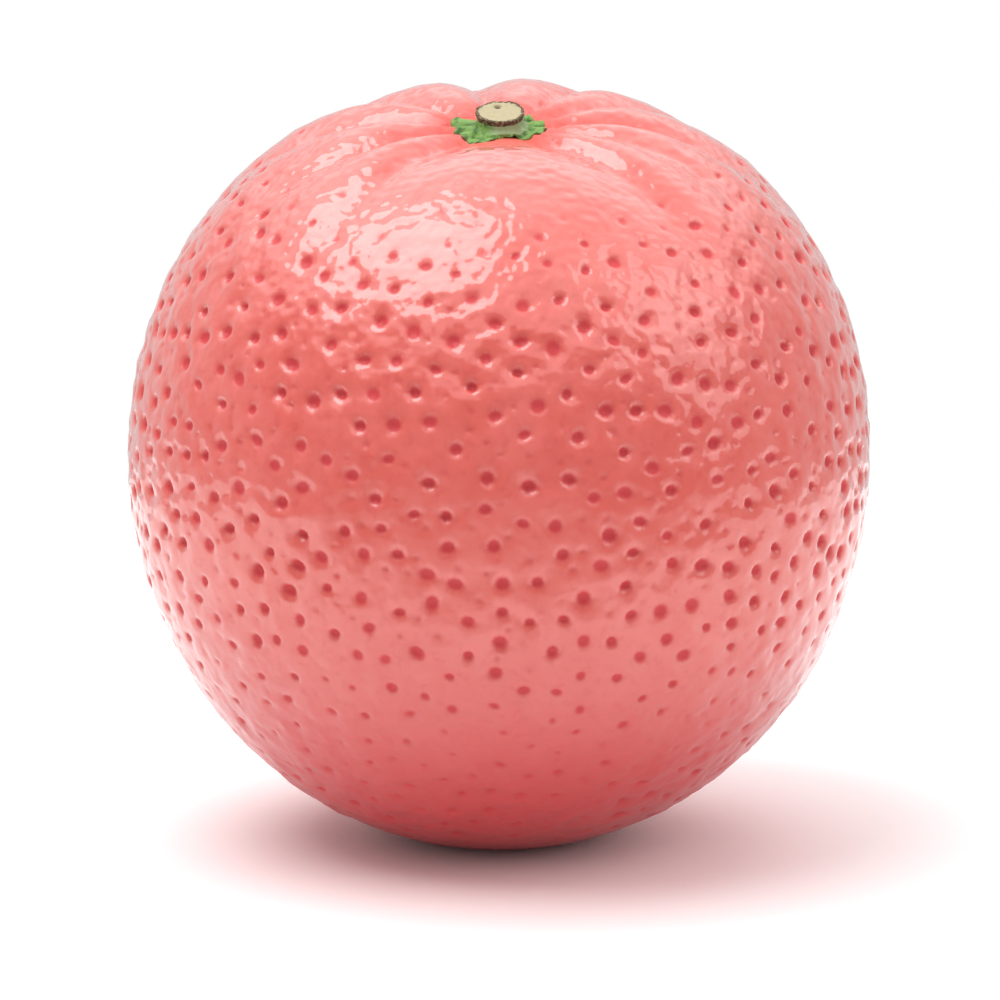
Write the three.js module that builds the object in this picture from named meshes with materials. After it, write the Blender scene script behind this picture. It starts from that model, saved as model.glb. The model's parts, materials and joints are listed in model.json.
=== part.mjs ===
// A pink pomelo as it lies on a table: the fruit, the green calyx in its crown and the cut stem stub.
// Millimetres, +Z up. The origin is the middle of the small flat spot that the fruit rests on.
// The fruit leans, so its stem axis points up and a little forward, towards -Y.
import * as THREE from "three";
import { mergeVertices } from "three/addons/utils/BufferGeometryUtils.js";

// ---- Driving dimensions of the fruit ----
const GIRTH_RADIUS = 75; // from the stem axis to the widest part of the peel
const CROWN_HEIGHT = 77; // from the body's centre up to the crown, before the hollow
const BASE_DEPTH = 79.6; // from the body's centre down to the blossom end
const CROWN_FULLNESS = 2.2; // 2 is an ellipse, and more gives fuller shoulders
const BASE_FULLNESS = 2.01;
const LEAN = THREE.MathUtils.degToRad(13); // the stem axis from the vertical
const CENTRE_HEIGHT = 78; // the body's centre above the table, which sets how wide the flat spot is

// ---- The hollow round the stem, and the ribs that run out of it ----
const HOLLOW_DEPTH = 6.6;
const HOLLOW_RADIUS = 19;
const FURROW_DEPTH = 4.2;
const FURROW_DEEPEST_AT = 19; // distance from the stem axis
const FURROW_FADE = 29; // how far past that the furrows die out
const RIB_ROUNDNESS = 0.8; // below 1 swells the ribs and narrows the furrows
// Where the furrows run, in degrees from the back (+Y), turning towards +X, and the share of the depth
// that each one has. The ribs between them are uneven, and the one at the front is the broadest.
const FURROWS = [
  { bearing: 30, share: 0.9 },
  { bearing: 58, share: 0.7 },
  { bearing: 86, share: 1 },
  { bearing: 108, share: 0.6 },
  { bearing: 132, share: 0.8 },
  { bearing: 224, share: 0.7 },
  { bearing: 250, share: 0.9 },
  { bearing: 280, share: 1 },
  { bearing: 312, share: 1 },
  { bearing: 352, share: 1 },
];
const STEP_ROUND = 4; // degrees between two lines of vertices, at most

// ---- The slow unevenness of a grown fruit ----
const SWELLING = 0.35;

// ---- Calyx and stem stub, in the stem's own frame ----
const SEAT_GAP = 0.3; // between the calyx and the peel under it
const SEPALS = [
  // bearing in degrees, reach from the stem axis, half of its spread in degrees
  { bearing: 290, reach: 9.9, spread: 34 },
  { bearing: 216, reach: 9.6, spread: 26 },
  { bearing: 102, reach: 9.7, spread: 30 },
  { bearing: 38, reach: 8.6, spread: 26 },
  { bearing: 344, reach: 8.2, spread: 24 },
];
const CUP_RADIUS = 6.1; // the calyx between its sepals
const SEPAL_THICKNESS = 0.9;
const COLLAR_RADIUS = 4.7;
const COLLAR_HEIGHT = 2.7; // above the peel at the stem axis
const STUB_RADIUS = 5.1;
const STUB_HEIGHT = 1.7;
const CUT_SLOPE = THREE.MathUtils.degToRad(7); // the cut face drops towards the front
const ROUND_STEPS = 60;

const TURN = 2 * Math.PI;
const radians = THREE.MathUtils.degToRad;

// Bearing of a point round the stem axis: 0 at the back (+Y), growing towards +X.
const bearingOf = (x, y) => (Math.atan2(x, y) + TURN) % TURN;

// The width of the rib that starts at furrow i, in degrees.
const ribWidth = (i) => (FURROWS[(i + 1) % FURROWS.length].bearing - FURROWS[i].bearing + 360) % 360;

// How far the furrows cut in at a bearing, as a share of their depth: most in a furrow, none on a rib.
function furrowCut(bearing) {
  const degrees = THREE.MathUtils.radToDeg(bearing);
  const after = FURROWS.findIndex((furrow) => furrow.bearing > degrees);
  const next = after < 0 ? 0 : after;
  const last = (next + FURROWS.length - 1) % FURROWS.length;
  const across = ((degrees - FURROWS[last].bearing + 360) % 360) / ribWidth(last);
  const share = THREE.MathUtils.lerp(FURROWS[last].share, FURROWS[next].share, across);
  return share * (1 - Math.sin(Math.PI * across) ** RIB_ROUNDNESS);
}

// How deep the furrows are at a distance from the stem axis, as a share of their depth.
function furrowShare(distance) {
  const q = distance / FURROW_DEEPEST_AT;
  if (q < 1) return q * q * Math.exp(1 - q * q);
  return Math.exp(-(((distance - FURROW_DEEPEST_AT) / FURROW_FADE) ** 2));
}

// Distance from the body's centre to the peel, along a unit vector in the stem's frame.
function bodyRadius(d) {
  const across = Math.hypot(d.x, d.y);
  const fullness = d.z > 0 ? CROWN_FULLNESS : BASE_FULLNESS;
  const height = d.z > 0 ? CROWN_HEIGHT : BASE_DEPTH;
  const round =
    ((across / GIRTH_RADIUS) ** fullness + (Math.abs(d.z) / height) ** fullness) ** (-1 / fullness);
  const bearing = bearingOf(d.x, d.y);
  const swelling = SWELLING * across ** 2 * Math.sin(3 * bearing + 4 * d.z) * Math.cos(2 * d.z + 0.6);
  if (d.z <= 0) return round + swelling;
  const distance = round * across;
  const hollow = HOLLOW_DEPTH * Math.exp(-((distance / HOLLOW_RADIUS) ** 2));
  return round + swelling - hollow - FURROW_DEPTH * furrowCut(bearing) * furrowShare(distance);
}

// Height of the peel above the body's centre, at a point x, y in the stem's frame near the crown.
function crownHeightAt(x, y) {
  const guess = new THREE.Vector3(x, y, CROWN_HEIGHT - HOLLOW_DEPTH);
  for (let pass = 0; pass < 6; pass++) {
    const d = guess.clone().normalize();
    guess.z = d.z * bodyRadius(d);
  }
  return guess.z;
}

// A profile of [distance, height] pairs turned about Z into a closed mesh with shared vertices.
function turned(profile, steps) {
  const lathe = new THREE.LatheGeometry(
    profile.map(([x, y]) => new THREE.Vector2(x, y)),
    steps,
  );
  lathe.rotateX(Math.PI / 2);
  lathe.deleteAttribute("normal");
  lathe.deleteAttribute("uv");
  return mergeVertices(lathe, 1e-4);
}

// Moves every vertex of a geometry with a function of its place.
function reshape(geometry, move) {
  const position = geometry.getAttribute("position");
  const place = new THREE.Vector3();
  for (let i = 0; i < position.count; i++) {
    place.fromBufferAttribute(position, i);
    move(place);
    position.setXYZ(i, place.x, place.y, place.z);
  }
  geometry.computeVertexNormals();
  return geometry;
}

// Rings of the fruit as angles from its top, close together over the crown and wider below.
function ringAngles() {
  const flatRadius =
    GIRTH_RADIUS * (1 - (CENTRE_HEIGHT / BASE_DEPTH) ** BASE_FULLNESS) ** (1 / BASE_FULLNESS);
  const flatEdge = Math.PI - Math.atan2(flatRadius, CENTRE_HEIGHT);
  const crownStep = radians(2);
  const crownEnd = radians(44);
  const sideStep = radians(5);
  const angles = [];
  for (let t = 0; t < crownEnd; t += crownStep) angles.push(t);
  const sideRings = Math.round((flatEdge - crownEnd) / sideStep);
  for (let i = 0; i <= sideRings; i++) {
    angles.push(crownEnd + ((flatEdge - crownEnd) * i) / sideRings);
  }
  angles.push((flatEdge + Math.PI) / 2, Math.PI);
  return angles;
}

// Bearings of the lines of vertices, in degrees: one falls in each furrow, the rest evenly between.
const LINE_BEARINGS = FURROWS.flatMap(({ bearing }, i) => {
  const steps = Math.ceil(ribWidth(i) / STEP_ROUND);
  return Array.from({ length: steps }, (_, k) => bearing + (ribWidth(i) * k) / steps);
});

// The bearing that a vertex of an even lathe moves to.
function lineBearing(even) {
  const count = LINE_BEARINGS.length;
  return radians(LINE_BEARINGS[Math.round((even / TURN) * count) % count]);
}

// The fruit about its own centre, upright in the world, with the lean already in its surface.
function fruitGeometry() {
  const sphere = turned(
    ringAngles()
      .reverse()
      .map((t) => [t === 0 || t === Math.PI ? 0 : Math.sin(t), Math.cos(t)]),
    LINE_BEARINGS.length,
  );
  const sideways = new THREE.Vector3(1, 0, 0);
  return reshape(sphere, (p) => {
    const fromTop = Math.acos(THREE.MathUtils.clamp(p.z, -1, 1));
    const bearing = lineBearing(bearingOf(p.x, p.y));
    // The rings lean with the stem at the top and lie level at the flat spot.
    const lean = LEAN * THREE.MathUtils.smoothstep(Math.PI - fromTop, 0, Math.PI * 0.8);
    p.set(Math.sin(fromTop) * Math.sin(bearing), Math.sin(fromTop) * Math.cos(bearing), p.z);
    p.applyAxisAngle(sideways, lean);
    const inStemFrame = p.clone().applyAxisAngle(sideways, -LEAN);
    const toTable = p.z < 0 ? CENTRE_HEIGHT / -p.z : Infinity;
    p.multiplyScalar(Math.min(bodyRadius(inStemFrame), toTable));
  });
}

// How far the calyx reaches at a bearing: a round cup with the sepals standing out of it.
function calyxReach(bearing) {
  const sepal = SEPALS.map(({ bearing: middle, reach, spread }) => {
    const off = Math.abs(((bearing - radians(middle) + 3 * Math.PI) % TURN) - Math.PI);
    const share = Math.max(0, 1 - (off / radians(spread)) ** 2);
    return (reach - CUP_RADIUS) * share ** 0.9;
  });
  return CUP_RADIUS + Math.max(...sepal);
}

// The calyx: thin sepals on the peel, rising to a collar under the stem stub.
function calyxGeometry() {
  const rim = 1; // the profile's distances are shares of the reach outside the collar
  const collar = COLLAR_RADIUS / CUP_RADIUS;
  const profile = [
    [0, 0],
    [collar * 0.5, 0],
    [collar, 0],
    [rim * 0.92, 0],
    [rim, SEPAL_THICKNESS * 0.5],
    [rim * 0.94, SEPAL_THICKNESS],
    [(rim + collar) / 2, SEPAL_THICKNESS * 1.3],
    [collar * 1.03, COLLAR_HEIGHT * 0.62],
    [collar, COLLAR_HEIGHT],
    [0, COLLAR_HEIGHT],
  ];
  const seat = crownHeightAt(0, 0);
  return reshape(turned(profile, ROUND_STEPS), (p) => {
    const share = Math.hypot(p.x, p.y);
    const reach = calyxReach(bearingOf(p.x, p.y));
    const beyond = Math.max(0, (share - collar) / (rim - collar));
    const spread = share > 1e-6 ? (share * CUP_RADIUS + beyond * (reach - CUP_RADIUS)) / share : 0;
    p.x *= spread;
    p.y *= spread;
    // The underside and the sepals follow the peel, and the top of the collar is level.
    const lift = THREE.MathUtils.smoothstep(p.z, SEPAL_THICKNESS * 1.3, COLLAR_HEIGHT);
    const peel = crownHeightAt(p.x, p.y);
    p.z += THREE.MathUtils.lerp(peel, seat, lift) + SEAT_GAP;
  });
}

// The woody stub that the fruit was cut from, with a sloping cut face.
function stubGeometry() {
  const bottom = crownHeightAt(0, 0) + COLLAR_HEIGHT + 2 * SEAT_GAP;
  const profile = [
    [0, 0],
    [STUB_RADIUS * 0.9, 0],
    [STUB_RADIUS * 0.97, STUB_HEIGHT * 0.3],
    [STUB_RADIUS, STUB_HEIGHT * 0.85],
    [STUB_RADIUS * 0.9, STUB_HEIGHT],
    [0, STUB_HEIGHT],
  ];
  return reshape(turned(profile, ROUND_STEPS), (p) => {
    if (p.z > STUB_HEIGHT * 0.5) p.z += p.y * Math.tan(CUT_SLOPE);
    p.z += bottom;
  });
}

const peelFinish = new THREE.MeshStandardMaterial({ color: 0xe26a60, roughness: 0.3, metalness: 0 });
const calyxFinish = new THREE.MeshStandardMaterial({ color: 0x6f9f48, roughness: 0.6, metalness: 0 });
const woodFinish = new THREE.MeshStandardMaterial({ color: 0xd8cba2, roughness: 0.85, metalness: 0 });

function named(name, geometry, material) {
  const mesh = new THREE.Mesh(geometry, material);
  mesh.name = name;
  return mesh;
}

const fruit = named("fruit", fruitGeometry(), peelFinish);
const stemFrame = new THREE.Group();
stemFrame.rotation.x = LEAN;
stemFrame.add(named("calyx", calyxGeometry(), calyxFinish));
stemFrame.add(named("stem_stub", stubGeometry(), woodFinish));

const pomelo = new THREE.Group();
pomelo.position.z = CENTRE_HEIGHT;
pomelo.add(fruit, stemFrame);

export default pomelo;
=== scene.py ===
# %% [markdown]
# # A pink pomelo on a white table
#
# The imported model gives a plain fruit, its green calyx and the cut stem stub, at their real size.
# This lesson gives each of them the surface of the real thing: a glossy, pitted peel, soft green
# sepals and a woody cut. Everything is in metres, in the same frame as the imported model.

import json
import math
import random

import bmesh
import bpy
import numpy as np
from mathutils import Matrix, Vector, noise
from mathutils.bvhtree import BVHTree
from mathutils.geometry import delaunay_2d_cdt
from mathutils.kdtree import KDTree

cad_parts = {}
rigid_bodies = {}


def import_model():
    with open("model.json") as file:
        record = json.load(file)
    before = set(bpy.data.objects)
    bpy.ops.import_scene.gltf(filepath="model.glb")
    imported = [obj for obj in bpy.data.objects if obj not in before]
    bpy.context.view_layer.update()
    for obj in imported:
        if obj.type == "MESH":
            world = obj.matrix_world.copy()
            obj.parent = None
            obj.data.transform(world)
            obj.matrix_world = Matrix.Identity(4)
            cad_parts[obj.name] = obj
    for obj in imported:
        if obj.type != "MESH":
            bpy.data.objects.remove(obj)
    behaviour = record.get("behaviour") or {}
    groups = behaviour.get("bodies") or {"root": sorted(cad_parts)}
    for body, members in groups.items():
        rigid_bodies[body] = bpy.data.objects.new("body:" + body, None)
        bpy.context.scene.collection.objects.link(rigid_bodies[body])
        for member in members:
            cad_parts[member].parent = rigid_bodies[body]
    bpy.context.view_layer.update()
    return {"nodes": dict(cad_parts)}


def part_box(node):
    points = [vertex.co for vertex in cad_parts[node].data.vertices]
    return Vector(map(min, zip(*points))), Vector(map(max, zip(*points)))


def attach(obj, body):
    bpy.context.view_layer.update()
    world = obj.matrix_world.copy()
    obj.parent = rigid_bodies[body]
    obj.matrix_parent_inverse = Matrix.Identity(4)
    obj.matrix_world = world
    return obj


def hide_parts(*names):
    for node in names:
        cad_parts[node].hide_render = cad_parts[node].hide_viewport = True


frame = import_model()
MM = 0.001

# %% [markdown]
# ## The stem's own frame
#
# The fruit leans a little forward, so the stem points up and towards the front. Everything that
# belongs to the stem is laid out round its axis, so the axis is worked out first, from the packed
# stub and the middle of the fruit. `from_stem` turns a place told round the stem into the world.

# %% The stem axis
body_centre = Vector((0, 0, 78 * MM))
LEAN = math.radians(13)
stem_axis = Vector((0, -math.sin(LEAN), math.cos(LEAN)))
stem_frame = Matrix.Translation(body_centre) @ Matrix.Rotation(LEAN, 4, "X")
stub_low, stub_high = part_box("stem_stub")
stub_middle = (stub_low + stub_high) / 2


def from_stem(distance, bearing, height):
    """A place at a distance from the stem axis, at a bearing from the back, at a height over the centre."""
    return stem_frame @ Vector((distance * math.sin(bearing), distance * math.cos(bearing), height))


off_axis = (stub_middle - body_centre).cross(stem_axis).length
print("stub lies", round(off_axis / MM, 2), "mm off the stem axis")

# %% [markdown]
# ## Small helpers
#
# Operators act on whatever is selected, so each step starts with nothing selected and one active
# object. Edit mode picks faces or edges by a test on their place, as a hand would click on them.


# %% Selecting
def pick_only(piece):
    """Leaves one object selected and active."""
    for other in bpy.context.view_layer.objects:
        other.select_set(False)
    piece.select_set(True)
    bpy.context.view_layer.objects.active = piece


def edit(piece):
    """Opens a piece in edit mode with nothing selected, and returns its mesh to look at."""
    pick_only(piece)
    bpy.ops.object.mode_set(mode="EDIT")
    bpy.ops.mesh.select_all(action="DESELECT")
    return bmesh.from_edit_mesh(piece.data)


def finish_edit(piece, outwards=True):
    """Merges doubles, turns the faces outwards and closes edit mode."""
    bpy.ops.mesh.select_all(action="SELECT")
    bpy.ops.mesh.remove_doubles(threshold=0.001 * MM)
    if outwards:
        bpy.ops.mesh.normals_make_consistent(inside=False)
    bpy.ops.object.mode_set(mode="OBJECT")


def apply_all(piece):
    """Applies the modifiers in their order."""
    pick_only(piece)
    for modifier in list(piece.modifiers):
        bpy.ops.object.modifier_apply(modifier=modifier.name)


def point_values(piece, name, values):
    """Stores one number a point under a name that materials can read."""
    layer = piece.data.attributes.new(name, "FLOAT", "POINT")
    layer.data.foreach_set("value", np.asarray(values, np.float32))


def report(piece):
    corners = np.array([v.co for v in piece.data.vertices])
    size = (corners.max(0) - corners.min(0)) / MM
    print(piece.name, len(piece.data.vertices), "points,", len(piece.data.polygons), "faces,",
          "size in mm", size.round(1))


# %% [markdown]
# ## The camera
#
# A long lens looks almost level at the fruit, from just over a metre away, so the outline is
# nearly that of a ball and the table shows as a thin strip under it.

# %% Camera
CAMERA_ELEVATION = math.radians(9.5)
CAMERA_DISTANCE = 1.12
LENS = 198.9
AIM_BELOW_CENTRE = 8 * MM

to_camera = Vector((0, -math.cos(CAMERA_ELEVATION), math.sin(CAMERA_ELEVATION)))
camera_data = bpy.data.cameras.new("camera")
camera_data.lens = LENS
camera_data.clip_end = 50
camera = bpy.data.objects.new("camera", camera_data)
bpy.context.scene.collection.objects.link(camera)
camera.location = body_centre + to_camera * CAMERA_DISTANCE
aim = body_centre - Vector((0, 0, AIM_BELOW_CENTRE))
camera.rotation_euler = (aim - camera.location).to_track_quat("-Z", "Y").to_euler()
bpy.context.scene.camera = camera
print("camera at", [round(v, 3) for v in camera.location])

# %% [markdown]
# ## The smooth body under the relief
#
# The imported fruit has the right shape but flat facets. A copy of it is merged and subdivided into
# a smooth body. It isn't shown: it is only what the peel's points are measured on.

# %% A smooth copy to measure on
packed_fruit = frame["nodes"]["fruit"]
smooth_body = bpy.data.objects.new("smooth_body", packed_fruit.data.copy())
bpy.context.scene.collection.objects.link(smooth_body)
edit(smooth_body)
bpy.ops.mesh.select_all(action="SELECT")
bpy.ops.mesh.remove_doubles(threshold=0.01 * MM)
bpy.ops.object.mode_set(mode="OBJECT")
smoothing = smooth_body.modifiers.new("smoothing", "SUBSURF")
smoothing.levels = smoothing.render_levels = 2
apply_all(smooth_body)
report(smooth_body)
surface = BVHTree.FromPolygons(
    [v.co.copy() for v in smooth_body.data.vertices],
    [tuple(p.vertices) for p in smooth_body.data.polygons],
)


def radius_along(directions):
    """Distance from the body's centre to the smooth surface along each direction."""
    found = [surface.ray_cast(body_centre, Vector(d))[3] for d in directions]
    return np.array([f if f is not None else 0.075 for f in found])


def place_on_peel(direction):
    return body_centre + Vector(direction) * radius_along([direction])[0]


# %% [markdown]
# ## Where the pits lie
#
# A citrus peel is full of oil glands. Over each big gland the skin dips into a pit, and smaller
# pits lie between them. They are spread evenly but not in rows: points are thrown at the ball at
# random, and a point is kept only if it is far enough from those already there.

# %% Throwing the pits
PEEL_RADIUS = 75.5 * MM
BIG_PIT_SPACING = 5.7 * MM
SMALL_PIT_SPACING = 3.3 * MM
THROWS = 26000
SMALL_PITS = 1350
dice = np.random.default_rng(41)


def random_directions(count):
    throws = dice.normal(size=(count, 3))
    return throws / np.linalg.norm(throws, axis=1, keepdims=True)


def spread_points(candidates, spacing, kept_before=None):
    """Keeps the candidates that lie at least a spacing from all those kept before them."""
    nearest_dot = math.cos(spacing / PEEL_RADIUS)
    kept = np.zeros((len(candidates) + (0 if kept_before is None else len(kept_before)), 3))
    count = 0
    if kept_before is not None:
        kept[: len(kept_before)] = kept_before
        count = len(kept_before)
    first_new = count
    for candidate in candidates:
        if count == 0 or (kept[:count] @ candidate).max() < nearest_dot:
            kept[count] = candidate
            count += 1
    return kept[first_new:count]


big_pits = spread_points(random_directions(THROWS), BIG_PIT_SPACING)
small_pits = spread_points(random_directions(THROWS), SMALL_PIT_SPACING, big_pits)[:SMALL_PITS]
print(len(big_pits), "big pits and", len(small_pits), "small ones")

# %% [markdown]
# ## Size and slant of each pit
#
# No two pits are alike. Each has its own width, depth and a slightly oval mouth. Round the crown
# the glands are small and shallow, so the skin looks smooth there, and they are shallower again
# towards the blossom end.

# %% Each pit's own size
BIG_PIT_RADIUS = 1.5 * MM
BIG_PIT_DEPTH = 0.8 * MM
FUNNEL_RADIUS = 2.25 * MM
FUNNEL_DEPTH = 0.62 * MM
SMALL_PIT_RADIUS = 1.0 * MM
SMALL_PIT_DEPTH = 0.30 * MM
stem_direction = np.array(stem_axis)


def smooth_step(low, high, values):
    share = np.clip((values - low) / (high - low), 0, 1)
    return share * share * (3 - 2 * share)


def pit_strength(directions):
    """How strongly pitted the peel is at each direction: little at the crown, less below."""
    from_crown = np.degrees(np.arccos(np.clip(directions @ stem_direction, -1, 1)))
    crown = 0.12 + 0.88 * smooth_step(24, 62, from_crown)
    below = 1 - 0.72 * smooth_step(84, 116, from_crown)
    return crown * below


def tangents(directions):
    """Two directions along the surface at each point: one roughly round the stem, one away from it."""
    side = np.cross(stem_direction + 0.45 * random_directions(len(directions)), directions)
    side /= np.linalg.norm(side, axis=1, keepdims=True)
    return side, np.cross(directions, side)


class Pits:
    """A set of pits: where they are, and the width, depth and slant of each."""

    def __init__(self, directions, radius, depth):
        count = len(directions)
        strength = pit_strength(directions)
        self.directions = directions
        self.across, self.along = tangents(directions)
        self.radius = radius * dice.uniform(0.78, 1.22, count) * (0.75 + 0.25 * strength)
        self.depth = depth * dice.uniform(0.55, 1.25, count) * strength
        self.oval = dice.uniform(0.92, 1.22, count)


big = Pits(big_pits, BIG_PIT_RADIUS, BIG_PIT_DEPTH)
small = Pits(small_pits, SMALL_PIT_RADIUS, SMALL_PIT_DEPTH)
print("big pits are", (big.depth.min() / MM).round(2), "to", (big.depth.max() / MM).round(2), "mm deep")

# %% [markdown]
# ## The points of the peel
#
# A grid fine enough to show every pit would be far too heavy. So the points are put where the
# shape needs them: one at the bottom of each pit, rings of points down its wall and over its rim,
# and wider spaced points between. Blender has no brush for that, so this piece is made in code.

# %% Rings round the pits
BIG_RINGS = [(0.45, 6), (0.85, 9), (1.25, 10), (1.7, 11)]  # share of the pit's radius, points
SMALL_RINGS = [(0.55, 5), (1.15, 7)]


def ring_points(pits, rings):
    """The middle of each pit and the points of its rings, as directions from the body's centre."""
    made = [pits.directions]
    for share, count in rings:
        start = dice.uniform(0, math.tau, (len(pits.radius), 1))
        turns = start + np.arange(count)[None, :] * (math.tau / count)
        reach = (pits.radius * share / PEEL_RADIUS)[:, None]
        across = np.cos(turns) * reach * pits.oval[:, None]
        along = np.sin(turns) * reach / pits.oval[:, None]
        points = pits.directions[:, None, :] + across[..., None] * pits.across[:, None, :]
        points = (points + along[..., None] * pits.along[:, None, :]).reshape(-1, 3)
        made.append(points / np.linalg.norm(points, axis=1, keepdims=True))
    return np.vstack(made)


ringed = np.vstack([ring_points(big, BIG_RINGS), ring_points(small, SMALL_RINGS)])
print(len(ringed), "points on the pits")

# %% Points between the pits, and a level ring for the flat spot
BETWEEN_COUNT = 41000
CLEAR_OF_RINGS = 0.86 * MM
FLAT_SPOT_RADIUS = 12 * MM
FLAT_SPOT_POINTS = 72
GOLDEN_TURN = math.pi * (3 - math.sqrt(5))

steps = np.arange(BETWEEN_COUNT) + 0.5
level = 1 - 2 * steps / BETWEEN_COUNT
outwards = np.sqrt(1 - level * level)
spiral = np.stack([outwards * np.cos(steps * GOLDEN_TURN), outwards * np.sin(steps * GOLDEN_TURN), level], 1)
tree = KDTree(len(ringed))
for i, point in enumerate(ringed):
    tree.insert(point, i)
tree.balance()
between = np.array([p for p in spiral if tree.find(p)[2] * PEEL_RADIUS > CLEAR_OF_RINGS])

flat_turns = np.arange(FLAT_SPOT_POINTS) * (math.tau / FLAT_SPOT_POINTS)
flat_edge = np.stack([
    FLAT_SPOT_RADIUS * np.cos(flat_turns),
    FLAT_SPOT_RADIUS * np.sin(flat_turns),
    np.full(FLAT_SPOT_POINTS, -body_centre.z),
], 1)
flat_edge_directions = flat_edge / np.linalg.norm(flat_edge, axis=1, keepdims=True)
flat_angle = math.atan2(FLAT_SPOT_RADIUS + 0.9 * MM, body_centre.z)
directions = np.vstack([ringed, between])
directions = directions[directions[:, 2] > -math.cos(flat_angle)]
directions = np.vstack([directions, flat_edge_directions])
print(len(directions), "points on the peel")

# %% [markdown]
# ## How deep the peel lies at each point
#
# Each pit is a steep hole in the middle of a wide, shallow funnel. The depth of all the pits is
# added up at every point. A soft, uneven swell between them stops the gloss from looking turned
# on a lathe. The sum is a plain formula, so the points can lie wherever the mesh wants them.

# %% Depth of the pits at every point
HOLE_STEEPNESS = 3.0
BLOCK = 6000


def pit_depths(directions, pits, funnel_radius, funnel_depth):
    """Total depth of the pits at each direction, and how far inside a hole each direction is."""
    depth = np.zeros(len(directions))
    inside = np.zeros(len(directions))
    funnels = funnel_depth * pits.depth / pits.depth.max()
    for start in range(0, len(directions), BLOCK):
        block = directions[start : start + BLOCK]
        nearness = block @ pits.directions.T
        at, pit = np.nonzero(nearness > math.cos(3.2 * funnel_radius / PEEL_RADIUS))
        offset = (block[at] - pits.directions[pit]) * PEEL_RADIUS
        across = (offset * pits.across[pit]).sum(1) / pits.oval[pit]
        along = (offset * pits.along[pit]).sum(1) * pits.oval[pit]
        distance = np.hypot(across, along)
        hole = np.exp(-((distance / (0.86 * pits.radius[pit])) ** HOLE_STEEPNESS))
        funnel = np.exp(-((distance / funnel_radius) ** 2))
        np.add.at(depth, start + at, pits.depth[pit] * hole + funnels[pit] * funnel)
        np.maximum.at(inside, start + at, hole * np.minimum(1, pits.depth[pit] / (0.5 * BIG_PIT_DEPTH)))
    return depth, inside


big_depth, big_inside = pit_depths(directions, big, FUNNEL_RADIUS, FUNNEL_DEPTH)
small_depth, small_inside = pit_depths(directions, small, SMALL_PIT_RADIUS * 1.6, 0.03 * MM)
print("deepest point is", ((big_depth + small_depth).max() / MM).round(2), "mm under the skin")

# %% The swell between the pits
SWELL = [(7.5 * MM, 0.26 * MM), (3.6 * MM, 0.30 * MM), (2.2 * MM, 0.10 * MM)]  # how wide and how high each layer of swelling is


def swell_at(point, near_crown):
    """Height of the uneven swell at a point; near the crown it is lower."""
    total = 0
    for width, height in SWELL:
        total += height * noise.noise(point / width) * (1 - 0.55 * near_crown)
    return total


radii = radius_along(directions)
on_body = directions * radii[:, None] + np.array(body_centre)
from_axis = np.degrees(np.arccos(np.clip(directions @ stem_direction, -1, 1)))
near_crown = 1 - smooth_step(22, 55, from_axis)
swell = np.array([swell_at(Vector(p), c) for p, c in zip(on_body, near_crown)])
towards_flat = smooth_step(0, 10 * MM, on_body[:, 2] - 1.0 * MM)
under_calyx = smooth_step(5, 9, from_axis)
radii = radii - (big_depth + small_depth - swell) * towards_flat * under_calyx + 0.1 * MM * towards_flat
peel_points = directions * radii[:, None] + np.array(body_centre)
peel_points[-FLAT_SPOT_POINTS:] = flat_edge + np.array(body_centre)
print("peel spans z from", (peel_points[:, 2].min() / MM).round(3), "to", (peel_points[:, 2].max() / MM).round(1), "mm")

# %% [markdown]
# ## From points to a closed skin
#
# The points are joined into triangles with no long thin ones. Blender can do that on a flat
# sheet, so the ball is first spread out flat from the flat spot, the way a map of the globe is
# drawn from its south pole. Such a map keeps circles round, so the triangles that are best on the
# sheet are also best on the ball. The hole left at the flat spot is then filled by hand.

# %% Joining the points
sheet = directions[:, :2] / (1 + directions[:, 2:3])
found = delaunay_2d_cdt([Vector(p) for p in sheet], [], [], 0, 1e-12)
triangles = np.array(found[2])
source = np.array([ids[0] for ids in found[3]])
triangles = source[triangles]

UNDERSIDE_FROM = 68 * MM  # below this height the skin is painted a deeper red and its coat thinned, as painted shade on the underside
UNDERSIDE_TO = 4 * MM
peel_mesh = bpy.data.meshes.new("peel")
peel_mesh.from_pydata(peel_points.tolist(), [], triangles.tolist())
peel = bpy.data.objects.new("peel", peel_mesh)
bpy.context.scene.collection.objects.link(peel)
pit_share = np.maximum(big_inside, 0.45 * small_inside) * towards_flat
point_values(peel, "pit", pit_share)
point_values(peel, "under", 1 - smooth_step(UNDERSIDE_TO, UNDERSIDE_FROM, peel_points[:, 2]))
point_values(peel, "stem_distance", np.radians(from_axis) * radii / MM)

# %% Filling the flat spot
FLAT_SPOT_INSETS = 3
mesh = edit(peel)
for edge in mesh.edges:
    if edge.is_boundary:
        edge.select_set(True)
bmesh.update_edit_mesh(peel.data)
bpy.ops.mesh.edge_face_add()
for _ in range(FLAT_SPOT_INSETS):
    bpy.ops.mesh.inset(thickness=FLAT_SPOT_RADIUS / (FLAT_SPOT_INSETS + 1))
bpy.ops.mesh.poke()
finish_edit(peel)
pick_only(peel)
bpy.ops.object.shade_smooth()
report(peel)

# %% [markdown]
# ## The calyx
#
# The calyx is the green star that held the flower. Its sepals lie on the peel like short leather
# tongues with torn, uneven ends, and a fleshy collar rises from it to the stub. It starts as a
# disc, and its rim is pulled out and down ring by ring, as on a lump of clay. Then each point of
# the skirt is moved to the reach of the sepal at its bearing and laid on the peel.

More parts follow.
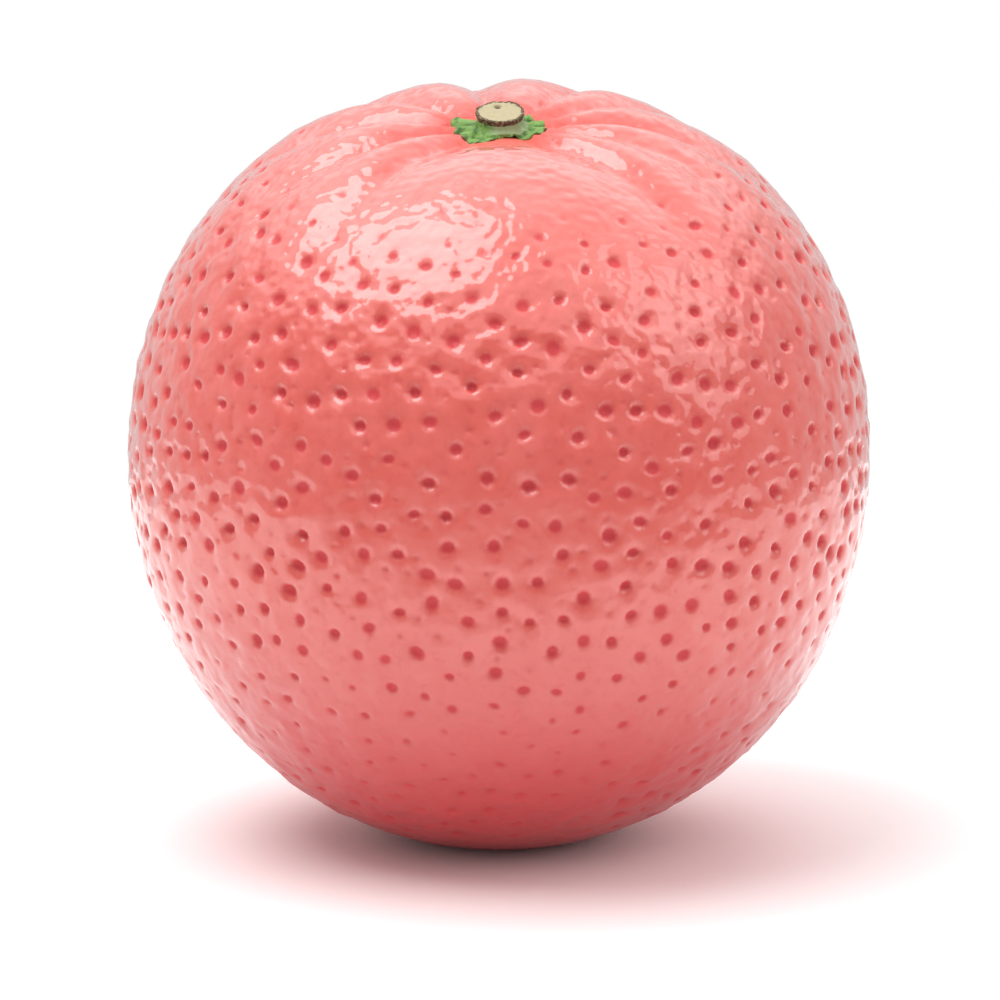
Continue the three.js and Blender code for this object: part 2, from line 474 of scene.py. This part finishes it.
# %% The disc and its skirt
CALYX_POINTS = 96
COLLAR_TOP = 4.5 * MM
CALYX_RINGS = [  # distance from the axis of each ring of the skirt, and how far it stands off the peel
    (4.62 * MM, 2.75 * MM), (4.7 * MM, 2.1 * MM), (4.95 * MM, 1.5 * MM), (5.4 * MM, 1.05 * MM),
    (6.1 * MM, 0.8 * MM), (7.0 * MM, 0.7 * MM), (7.9 * MM, 0.62 * MM), (8.7 * MM, 0.55 * MM), (9.4 * MM, 0.4 * MM),
]
CUP_REACH = 5.6 * MM
SEPALS = [  # bearing in degrees from the back, reach from the axis, half of the spread in degrees
    (290, 10.3 * MM, 30), (256, 9.4 * MM, 26), (236, 9.3 * MM, 24), (211, 9.9 * MM, 30),
    (120, 8.0 * MM, 22), (100, 9.6 * MM, 19), (74, 9.4 * MM, 15), (42, 8.8 * MM, 28), (344, 8.2 * MM, 24),
]
seat = (place_on_peel(stem_axis) - body_centre).length
bpy.ops.mesh.primitive_circle_add(vertices=CALYX_POINTS, radius=COLLAR_TOP, fill_type="NGON",
                                  location=(0, 0, seat + 2.9 * MM))
calyx = bpy.context.object
calyx.name = calyx.data.name = "green_calyx"
bpy.ops.object.transform_apply(location=True, rotation=True, scale=True)
mesh = edit(calyx)
for edge in mesh.edges:
    edge.select_set(True)
bmesh.update_edit_mesh(calyx.data)
bpy.ops.mesh.select_mode(type="EDGE")
ring_at = COLLAR_TOP
for distance, height in CALYX_RINGS:
    bpy.ops.mesh.extrude_edges_move()
    stretch = distance / ring_at
    bpy.ops.transform.resize(value=(stretch, stretch, 1), center_override=(0, 0, 0))
    bpy.ops.transform.translate(value=(0, 0, -0.25 * MM))
    ring_at = distance
bpy.ops.object.mode_set(mode="OBJECT")
report(calyx)


# %% Pulling the sepals out and laying them on the peel
def turn_between(one, other):
    return abs((one - other + 180) % 360 - 180)


def calyx_reach(bearing, raggedness):
    """How far the calyx reaches at a bearing, with a torn edge."""
    reach = CUP_REACH
    for middle, furthest, spread in SEPALS:
        share = max(0, 1 - (turn_between(bearing, middle) / spread) ** 2)
        reach = max(reach, CUP_REACH + (furthest - CUP_REACH) * share ** 0.75)
    return reach + raggedness


def peel_height(x, y):
    """Height of the peel over the body's centre at a place told in the stem's frame."""
    inwards = -stem_axis
    start = stem_frame @ Vector((x, y, seat + 20 * MM))
    hit = surface.ray_cast(start, inwards)
    return seat + 20 * MM - hit[3]


TORN_EDGE = 1.0 * MM
WRINKLE = 0.75 * MM
skirt_start = CALYX_RINGS[3][0]
skirt_end = CALYX_RINGS[-1][0]
ring_distances = np.array([d for d, _ in CALYX_RINGS])
ring_heights = np.array([h for _, h in CALYX_RINGS])
sepal_share = []
tip_share = []
for vertex in calyx.data.vertices:
    place = vertex.co.copy()
    distance = math.hypot(place.x, place.y)
    bearing = math.degrees(math.atan2(place.x, place.y)) % 360
    spot = Vector((math.sin(math.radians(bearing)), math.cos(math.radians(bearing)), 0))
    torn = TORN_EDGE * noise.noise(spot * 9) + 0.5 * TORN_EDGE * noise.noise(spot * 23)
    reach = calyx_reach(bearing, torn)
    beyond = min(1, max(0, (distance - skirt_start) / (skirt_end - skirt_start)))
    moved = distance if beyond == 0 else skirt_start + beyond * (reach - skirt_start)
    standing = float(np.interp(distance, ring_distances, ring_heights))
    if distance > COLLAR_TOP * 1.001:
        at = spot * moved
        wrinkle = WRINKLE * (noise.noise(at / (1.6 * MM)) + 0.5 * noise.noise(at / (0.7 * MM))) * min(1, beyond * 3)
        on_collar = min(1, max(0, (standing - 0.9 * MM) / (1.6 * MM)))
        base = peel_height(at.x, at.y) * (1 - on_collar) + seat * on_collar
        vertex.co = Vector((at.x, at.y, base + standing + wrinkle))
    green_side = max(0, 1 - (turn_between(bearing, 250) / 62) ** 4)
    sepal_share.append(max(beyond, 0.16 * green_side))
    on_sepal = min(1, max(0, (reach - CUP_REACH) / (1.5 * MM)))
    tip_share.append(on_sepal * max(0, (moved - 0.86 * reach) / (0.14 * reach)) if beyond > 0 else 0)
point_values(calyx, "sepal", sepal_share)
point_values(calyx, "edge", tip_share)

# %% Giving the calyx its thickness
thickness = calyx.modifiers.new("thickness", "SOLIDIFY")
thickness.thickness = 0.8 * MM
thickness.offset = -1
rounding = calyx.modifiers.new("rounding", "SUBSURF")
rounding.levels = rounding.render_levels = 1
apply_all(calyx)
calyx.data.transform(stem_frame)
edit(calyx)
finish_edit(calyx)
pick_only(calyx)
bpy.ops.object.shade_smooth()
report(calyx)

# %% [markdown]
# ## The cut stem stub
#
# The stalk was snipped off just above the calyx. The cut shows pale, fibrous wood with a small
# pit of pith, and the dark bark stands round it as a thin, ragged rim. It starts as a short
# cylinder. Its top is inset in rings, so there are points to roughen the cut with.

# %% A short cylinder, inset
STUB_POINTS = 80
STUB_RADIUS = 4.95 * MM
STUB_HEIGHT = 1.75 * MM
RIM_WIDTH = 1.05 * MM
CUT_SLOPE = math.tan(math.radians(7))
CUT_RINGS = 9
stub_bottom = seat + 2.45 * MM
bpy.ops.mesh.primitive_cylinder_add(vertices=STUB_POINTS, radius=STUB_RADIUS, depth=STUB_HEIGHT,
                                    location=(0, 0, stub_bottom + STUB_HEIGHT / 2))
stub = bpy.context.object
stub.name = stub.data.name = "cut_stub"
bpy.ops.object.transform_apply(location=True, rotation=True, scale=True)
mesh = edit(stub)
sides = [e for e in mesh.edges if abs(e.verts[0].co.z - e.verts[1].co.z) > 0.5 * STUB_HEIGHT]
for edge in sides:
    edge.select_set(True)
bmesh.update_edit_mesh(stub.data)
bpy.ops.mesh.subdivide(number_cuts=4)
bpy.ops.mesh.select_all(action="DESELECT")
bpy.ops.mesh.select_mode(type="FACE")
mesh = bmesh.from_edit_mesh(stub.data)
for face in mesh.faces:
    if face.normal.z > 0.9:
        face.select_set(True)
bmesh.update_edit_mesh(stub.data)
bpy.ops.mesh.inset(thickness=RIM_WIDTH * 0.5)
bpy.ops.mesh.inset(thickness=RIM_WIDTH * 0.5)
for _ in range(CUT_RINGS):
    bpy.ops.mesh.inset(thickness=(STUB_RADIUS - RIM_WIDTH) / (CUT_RINGS + 1))
bpy.ops.mesh.poke()
bpy.ops.object.mode_set(mode="OBJECT")
report(stub)

# %% Roughening the cut and the bark
PITH_PLACE = Vector((-0.5 * MM, 2.5 * MM, 0))
PITH_RADIUS = 0.65 * MM
stub_top = stub_bottom + STUB_HEIGHT
bark_share = []
pith_share = []
for vertex in stub.data.vertices:
    place = vertex.co.copy()
    flat = Vector((place.x, place.y, 0))
    distance = flat.length
    spot = flat.normalized() if distance > 0 else Vector((0, 0, 0))
    height_share = (place.z - stub_bottom) / STUB_HEIGHT
    ragged = noise.noise(spot * 4 + Vector((7, 0, place.z / MM))) + 0.6 * noise.noise(spot * 11)
    rim = min(1, max(0, (distance - (STUB_RADIUS - RIM_WIDTH)) / (RIM_WIDTH * 0.6)))
    waist = 1 - 0.10 * (1 - height_share) - 0.03 * math.sin(height_share * math.pi)
    outward = 1 + 0.05 * ragged * (distance / STUB_RADIUS) ** 4
    pith = math.exp(-(((flat - PITH_PLACE).length / PITH_RADIUS) ** 4))
    grain = 0.07 * MM * noise.noise(flat / (0.8 * MM)) + 0.10 * MM * noise.noise(flat / (2.2 * MM))
    lift = 0
    if height_share > 0.9:
        lift = grain * (1 - rim) - 0.7 * MM * pith + rim * (0.2 * MM + 0.42 * MM * ragged)
    if height_share > 0.3:
        lift += place.y * CUT_SLOPE
    vertex.co = Vector((place.x * waist * outward, place.y * waist * outward, place.z + lift))
    bark_share.append(1.0 if height_share < 0.95 else rim)
    pith_share.append(pith)
point_values(stub, "bark", bark_share)
point_values(stub, "pith", pith_share)
rounding = stub.modifiers.new("rounding", "SUBSURF")
rounding.levels = rounding.render_levels = 2
apply_all(stub)
stub.data.transform(stem_frame)
edit(stub)
finish_edit(stub)
pick_only(stub)
bpy.ops.object.shade_smooth()
report(stub)

# %% [markdown]
# ## Building materials
#
# Each finish is a Principled shader. Plain numbers are set on the shader itself, and only what
# varies over the surface comes through nodes. `Finish` keeps the wiring short and readable.


# %% A small wiring helper
class Finish:
    """A material with one Principled shader and the nodes that feed it."""

    def __init__(self, name, **values):
        self.material = bpy.data.materials.new(name)
        self.material.use_nodes = True
        self.nodes = self.material.node_tree.nodes
        self.links = self.material.node_tree.links
        self.shader = self.nodes["Principled BSDF"]
        for socket, value in values.items():
            self.shader.inputs[socket.replace("_", " ")].default_value = value
        self.place = self.nodes.new("ShaderNodeTexCoord").outputs["Object"]

    def wire(self, source, target):
        if hasattr(source, "is_linked"):
            self.links.new(source, target)
        else:
            target.default_value = source

    def attribute(self, name):
        node = self.nodes.new("ShaderNodeAttribute")
        node.attribute_name = name
        return node.outputs["Fac"]

    def noise(self, size, detail=2.0, roughness=0.5, stretch=None):
        node = self.nodes.new("ShaderNodeTexNoise")
        node.inputs["Scale"].default_value = 1 / size
        node.inputs["Detail"].default_value = detail
        node.inputs["Roughness"].default_value = roughness
        self.wire(self.place if stretch is None else stretch, node.inputs["Vector"])
        return node.outputs["Fac"]

    def spread(self, source, low, high, to_low=0.0, to_high=1.0):
        node = self.nodes.new("ShaderNodeMapRange")
        node.interpolation_type = "SMOOTHSTEP"
        for socket, value in zip(("Value", "From Min", "From Max", "To Min", "To Max"),
                                 (source, low, high, to_low, to_high)):
            self.wire(value, node.inputs[socket])
        return node.outputs["Result"]

    def maths(self, operation, one, other):
        node = self.nodes.new("ShaderNodeMath")
        node.operation = operation
        self.wire(one, node.inputs[0])
        self.wire(other, node.inputs[1])
        return node.outputs[0]

    def length(self, source):
        node = self.nodes.new("ShaderNodeVectorMath")
        node.operation = "LENGTH"
        self.wire(source, node.inputs[0])
        return node.outputs["Value"]

    def mix(self, share, one, other):
        node = self.nodes.new("ShaderNodeMix")
        node.data_type = "RGBA"
        self.wire(share, node.inputs[0])
        self.wire(one, node.inputs[6])
        self.wire(other, node.inputs[7])
        return node.outputs[2]

    def bump(self, height, distance, strength, before=None):
        node = self.nodes.new("ShaderNodeBump")
        node.inputs["Distance"].default_value = distance
        node.inputs["Strength"].default_value = strength
        self.wire(height, node.inputs["Height"])
        if before is not None:
            self.wire(before, node.inputs["Normal"])
        return node.outputs["Normal"]

    def to(self, socket, source):
        self.wire(source, self.shader.inputs[socket])

    def cover(self, piece):
        piece.data.materials.clear()
        piece.data.materials.append(self.material)


def colour(red, green, blue):
    return (red, green, blue, 1.0)


# %% [markdown]
# ## The peel's finish
#
# The skin is coral pink with a faint mottling, under a clear wax; painted shade makes it a deeper red inside the pits
# and on the underside.
# The wax is the shader's coat. Its small roughness keeps the edges of the highlights crisp.

# %% Peel material
SKIN = colour(0.70, 0.120, 0.098)
SKIN_LIGHT = colour(0.73, 0.146, 0.124)
# deep red for the random freckles, and painted shade inside the pits
SKIN_FRECKLE_AND_PIT_SHADE = colour(0.56, 0.034, 0.044)
# painted shade on the underside
SKIN_SHADED_BELOW = colour(0.50, 0.040, 0.046)
SKIN_NEAR_STEM = colour(0.80, 0.33, 0.12)
wax = Finish("waxed_pink_peel", Roughness=0.32, IOR=1.45, Specular_IOR_Level=0.4,
             Coat_Weight=1.0, Coat_Roughness=0.08, Coat_IOR=1.6)
mottle = wax.spread(wax.noise(9 * MM, 4), 0.35, 0.7)
freckle = wax.spread(wax.noise(2.2 * MM, 3), 0.5, 0.75, 0.0, 0.22)
skin = wax.mix(mottle, SKIN, SKIN_LIGHT)
skin = wax.mix(freckle, skin, SKIN_FRECKLE_AND_PIT_SHADE)
# Painted shade: the inside of each pit is painted a deeper red.
skin = wax.mix(wax.spread(wax.attribute("pit"), 0.05, 0.75, 0.0, 0.85), skin, SKIN_FRECKLE_AND_PIT_SHADE)
# Painted shade: towards the bottom the skin is painted a darker, deeper red.
skin = wax.mix(wax.attribute("under"), skin, SKIN_SHADED_BELOW)
stem_glow = wax.spread(wax.attribute("stem_distance"), 8.0, 11.0, 0.06, 0.0)
skin = wax.mix(stem_glow, skin, SKIN_NEAR_STEM)
wax.to("Base Color", skin)
glossy = wax.spread(wax.attribute("pit"), 0.1, 0.6, 1.0, 0.12)
# On the underside the coat is thinned as well, as part of the painted shade.
dulled = wax.spread(wax.attribute("under"), 0.3, 1.0, 1.0, 0.25)
sheltered = wax.spread(wax.attribute("stem_distance"), 9.0, 19.0, 0.1, 1.0)
wax.to("Coat Weight", wax.maths("MULTIPLY", wax.maths("MULTIPLY", glossy, dulled), sheltered))
rough_by_stem = wax.spread(wax.attribute("stem_distance"), 9.0, 19.0, 0.4, 0.0)
wax.to("Roughness", wax.maths("ADD", wax.spread(wax.attribute("pit"), 0.1, 0.6, 0.32, 0.6), rough_by_stem))
rippled = wax.spread(wax.attribute("stem_distance"), 45, 105, 0.3, 0.12)
lumps = wax.bump(wax.maths("MULTIPLY", wax.maths("SUBTRACT", wax.noise(2.0 * MM, 0, 0.4), 0.5), rippled), 1.0 * MM, 1.0)
wax.to("Normal", wax.bump(wax.noise(0.6 * MM, 2), 0.02 * MM, 0.4, lumps))
wax.to("Coat Normal", lumps)
wax.cover(peel)

# %% Calyx material
LEAF = colour(0.18, 0.34, 0.075)
LEAF_DARK = colour(0.035, 0.10, 0.015)
COLLAR = colour(0.28, 0.37, 0.18)
BROWN_EDGE = colour(0.10, 0.045, 0.02)
leaf = Finish("green_calyx", Roughness=0.5, IOR=1.4)
leaf_skin = leaf.mix(leaf.spread(leaf.noise(1.8 * MM, 4, 0.6), 0.42, 0.66), LEAF, LEAF_DARK)
leaf_skin = leaf.mix(leaf.spread(leaf.attribute("sepal"), 0.0, 0.16), COLLAR, leaf_skin)
ragged_edge = leaf.maths("ADD", leaf.attribute("edge"), leaf.spread(leaf.noise(0.8 * MM, 3), 0.4, 0.8, -0.3, 0.3))
leaf_skin = leaf.mix(leaf.spread(ragged_edge, 0.55, 0.95), leaf_skin, BROWN_EDGE)
leaf.to("Base Color", leaf_skin)
leaf.to("Normal", leaf.bump(leaf.noise(0.6 * MM, 4, 0.6), 0.15 * MM, 0.7))
leaf.cover(calyx)

# %% Wood and bark material
WOOD = colour(0.46, 0.40, 0.25)
WOOD_DARK = colour(0.33, 0.25, 0.13)
BARK = colour(0.085, 0.055, 0.03)
BARK_LIGHT = colour(0.30, 0.24, 0.15)
wood = Finish("cut_wood", Roughness=0.8, IOR=1.4)
face = wood.mix(wood.spread(wood.noise(0.7 * MM, 4, 0.65), 0.5, 0.8, 0.0, 0.7), WOOD, WOOD_DARK)
# Painted shade: the pith hollow is painted in the dark bark colour.
face = wood.mix(wood.attribute("pith"), face, BARK)
bark = wood.mix(wood.spread(wood.noise(0.6 * MM, 3), 0.45, 0.7), BARK, BARK_LIGHT)
rim_line = wood.maths("ADD", wood.attribute("bark"), wood.spread(wood.noise(0.5 * MM, 2), 0.3, 0.7, -0.25, 0.25))
wood.to("Base Color", wood.mix(wood.spread(rim_line, 0.35, 0.65), face, bark))
wood.to("Normal", wood.bump(wood.noise(0.35 * MM, 4, 0.6), 0.12 * MM, 0.8))
wood.cover(stub)

# %% [markdown]
# ## Table and light
#
# The fruit stands on a broad white table in a white studio. Two soft boxes make the two
# highlights: one nearly overhead on the left, and a dimmer one to the right. A highlight sits
# where the skin faces halfway between the eye and the lamp, so each lamp is placed from where its
# highlight lies on the fruit. In front, the studio is dark, which gives the glossy skin depth.

# %% The table
TABLE_RADIUS = 0.42
bpy.ops.mesh.primitive_circle_add(vertices=96, radius=TABLE_RADIUS, fill_type="NGON", location=(0, 0, 0))
table = bpy.context.object
table.name = "table"
# The table's paint glows red a few centimetres round the fruit: painted light, standing in for the red light the fruit
# throws on the table.
table_paint = Finish("white_table", Base_Color=colour(0.96, 0.96, 0.96), Roughness=0.7, Specular_IOR_Level=0.2,
                     Emission_Color=colour(1.0, 0.13, 0.15))
from_fruit = table_paint.length(table_paint.place)
painted_bounce_glow = table_paint.maths("MULTIPLY", table_paint.spread(from_fruit, 0.02, 0.06), table_paint.spread(from_fruit, 0.06, 0.105, 0.085, 0.0))
table_paint.to("Emission Strength", painted_bounce_glow)
table_paint.cover(table)


# %% Soft boxes
def soft_box(name, facing_side, facing_up, distance, width, height, radiance, mirrored=True):
    """A lamp whose highlight lies where the skin faces so many degrees sideways and upwards."""
    side, up = math.radians(facing_side), math.radians(facing_up)
    normal = Vector((math.sin(side) * math.cos(up), -math.cos(side) * math.cos(up), math.sin(up)))
    towards = 2 * normal.dot(to_camera) * normal - to_camera
    lamp = bpy.data.lights.new(name, "AREA")
    lamp.shape = "ELLIPSE"
    lamp.size = width
    lamp.size_y = height
    lamp.energy = radiance * math.pi * math.pi / 4 * width * height
    holder = bpy.data.objects.new(name, lamp)
    holder.location = body_centre + towards * distance
    holder.rotation_euler = (-towards).to_track_quat("-Z", "Y").to_euler()
    bpy.context.scene.collection.objects.link(holder)
    holder.visible_glossy = mirrored
    print(name, "at", [round(v, 2) for v in holder.location])


soft_box("left_box", -17.2, 41.0, 1.2, 1.08, 0.92, 3.8)
soft_box("right_box", 31.0, 25.5, 1.2, 0.72, 1.1, 1.45)
soft_box("overhead_box", 0, 58, 2.4, 2.8, 2.4, 1.42, mirrored=False)

# %% The dark studio in front
FLAG_DISTANCES = [0.30, 0.22, 0.17, 0.14]
FLAG_WIDTH = 1.6
FLAG_DENSITY = 0.36
gauze = Finish("black_gauze", Base_Color=colour(0.01, 0.01, 0.01), Roughness=1.0, Specular_IOR_Level=0.0,
               Alpha=FLAG_DENSITY)
for distance in FLAG_DISTANCES:
    flag_height = body_centre.z + distance * math.tan(CAMERA_ELEVATION)
    bpy.ops.mesh.primitive_plane_add(size=1, location=(0, -distance, flag_height / 2), rotation=(math.radians(90), 0, 0))
    flag = bpy.context.object
    flag.name = "black_flag"
    flag.scale = (FLAG_WIDTH, flag_height, 1)
    bpy.ops.object.transform_apply(location=True, rotation=True, scale=True)
    flag.visible_camera = flag.visible_diffuse = flag.visible_shadow = False
    flag.visible_transmission = flag.visible_volume_scatter = False
    gauze.cover(flag)

# %% The studio walls
WALL_IN_FRONT = 0.12  # what the skin mirrors: a dark studio in front, pale walls behind, a bright ceiling
WALL_BEHIND = 0.75
CEILING = 1.1
ROOM_LIGHT = 0.68  # what lights the fruit and the table from all round
world = bpy.data.worlds.new("studio")
bpy.context.scene.world = world
world.use_nodes = True
wnodes, wlinks = world.node_tree.nodes, world.node_tree.links


def world_ramp(source, low, high, to_low, to_high):
    node = wnodes.new("ShaderNodeMapRange")
    node.interpolation_type = "SMOOTHSTEP"
    for socket, value in zip(("From Min", "From Max", "To Min", "To Max"), (low, high, to_low, to_high)):
        node.inputs[socket].default_value = value
    wlinks.new(source, node.inputs["Value"])
    return node.outputs["Result"]


def world_maths(operation, one, other):
    node = wnodes.new("ShaderNodeMath")
    node.operation = operation
    for socket, value in zip(node.inputs, (one, other)):
        if hasattr(value, "is_linked"):
            wlinks.new(value, socket)
        else:
            socket.default_value = value
    return node.outputs[0]


look = wnodes.new("ShaderNodeTexCoord")
split = wnodes.new("ShaderNodeSeparateXYZ")
wlinks.new(look.outputs["Generated"], split.inputs[0])
ray = wnodes.new("ShaderNodeLightPath")
front = world_ramp(split.outputs["Y"], -0.7, 0.95, WALL_IN_FRONT, WALL_BEHIND)
above = world_ramp(split.outputs["Z"], 0.42, 0.64, 0.0, CEILING)
mirrored_walls = world_maths("MULTIPLY", world_maths("ADD", front, above), ray.outputs["Is Glossy Ray"])
unmirrored = world_maths("SUBTRACT", 1.0, ray.outputs["Is Glossy Ray"])
walls = world_maths("ADD", mirrored_walls, world_maths("MULTIPLY", unmirrored, ROOM_LIGHT))
background = wnodes["Background"]
background.inputs["Color"].default_value = (1, 1, 1, 1)
wlinks.new(world_maths("MAXIMUM", walls, ray.outputs["Is Camera Ray"]), background.inputs["Strength"])
bpy.context.scene.view_settings.view_transform = "Standard"

# %% [markdown]
# ## Attaching the pieces
#
# Each piece rides on the fruit's only body and stands for its imported node, which is hidden. The hidden measuring copy
# is removed.

# %% Pieces and bodies
bpy.data.objects.remove(smooth_body)
for piece, node, slot in ((peel, "fruit", "peel"), (calyx, "calyx", "calyx_green"), (stub, "stem_stub", "stem_wood")):
    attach(piece, "root")
    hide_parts(node)
